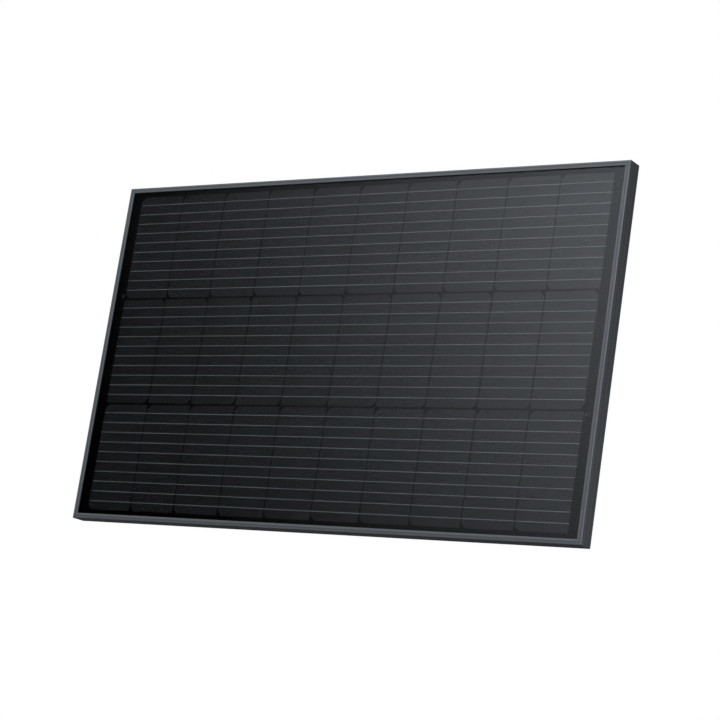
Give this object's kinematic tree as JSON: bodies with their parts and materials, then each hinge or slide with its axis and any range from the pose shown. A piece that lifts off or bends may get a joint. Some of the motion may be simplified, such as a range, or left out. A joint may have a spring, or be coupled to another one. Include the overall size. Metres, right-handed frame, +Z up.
{
  "type": "solar panel",
  "caption": "Rigid framed solar panel: black half-cut cells behind glass in a mitred black frame, with a rear junction box that has a hinged lid.",
  "frame": {"origin": "centre of the four rear mounting slots, on the frame's back plane", "axes": "+X along the long side, +Z up across the short side, +Y out of the back; the glass faces -Y"},
  "size_m": [0.982, 0.028, 0.586],
  "materials": {
    "black_anodised": "satin",
    "mill_aluminium": "satin",
    "black_sealant": "matte",
    "front_glass": "gloss",
    "encapsulant": "gloss",
    "black_backsheet": "satin",
    "silicon_cell": "satin",
    "tinned_copper": "satin",
    "black_tinned_copper": "matte",
    "label": "satin",
    "black_plastic": "matte",
    "grey_rubber": "matte",
    "terminal_metal": "satin",
    "diode_epoxy": "satin"
  },
  "bodies": {
    "panel": {"frame_top": "black_anodised", "frame_bottom": "black_anodised", "frame_left": "black_anodised", "frame_right": "black_anodised", "corner_key_top_left": "mill_aluminium", "corner_key_top_right": "mill_aluminium", "corner_key_bottom_left": "mill_aluminium", "corner_key_bottom_right": "mill_aluminium", "edge_seal": "black_sealant", "front_glass": "front_glass", "front_encapsulant": "encapsulant", "rear_encapsulant": "encapsulant", "backsheet": "black_backsheet", "cell_r1_c01": "silicon_cell", "cell_r1_c02": "silicon_cell", "cell_r1_c03": "silicon_cell", "cell_r1_c04": "silicon_cell", "cell_r1_c05": "silicon_cell", "cell_r1_c06": "silicon_cell", "cell_r1_c07": "silicon_cell", "cell_r1_c08": "silicon_cell", "cell_r1_c09": "silicon_cell", "cell_r1_c10": "silicon_cell", "cell_r2_c01": "silicon_cell", "cell_r2_c02": "silicon_cell", "cell_r2_c03": "silicon_cell", "cell_r2_c04": "silicon_cell", "cell_r2_c05": "silicon_cell", "cell_r2_c06": "silicon_cell", "cell_r2_c07": "silicon_cell", "cell_r2_c08": "silicon_cell", "cell_r2_c09": "silicon_cell", "cell_r2_c10": "silicon_cell", "cell_r3_c01": "silicon_cell", "cell_r3_c02": "silicon_cell", "cell_r3_c03": "silicon_cell", "cell_r3_c04": "silicon_cell", "cell_r3_c05": "silicon_cell", "cell_r3_c06": "silicon_cell", "cell_r3_c07": "silicon_cell", "cell_r3_c08": "silicon_cell", "cell_r3_c09": "silicon_cell", "cell_r3_c10": "silicon_cell", "cell_wires_row1": "tinned_copper", "cell_wires_row2": "tinned_copper", "cell_wires_row3": "tinned_copper", "bus_ribbons_left": "black_tinned_copper", "bus_ribbons_right": "black_tinned_copper", "lead_positive": "tinned_copper", "lead_negative": "tinned_copper", "lead_insulation": "black_backsheet", "rating_label": "label", "junction_box_pad": "black_sealant", "junction_box_base": "black_plastic", "junction_box_seal": "grey_rubber", "terminals": "terminal_metal", "bypass_diode": "diode_epoxy", "gland_seals": "grey_rubber", "gland_nuts": "black_plastic"},
    "box_lid": {"junction_box_lid": "black_plastic"}
  },
  "joints": [
    {"name": "lid_hinge", "type": "hinge", "parent": "panel", "child": "box_lid", "pos_m": [-0.395, -0.0094, 0.0432], "axis": [1, 0, 0], "range_deg": [0, 105]}
  ]
}
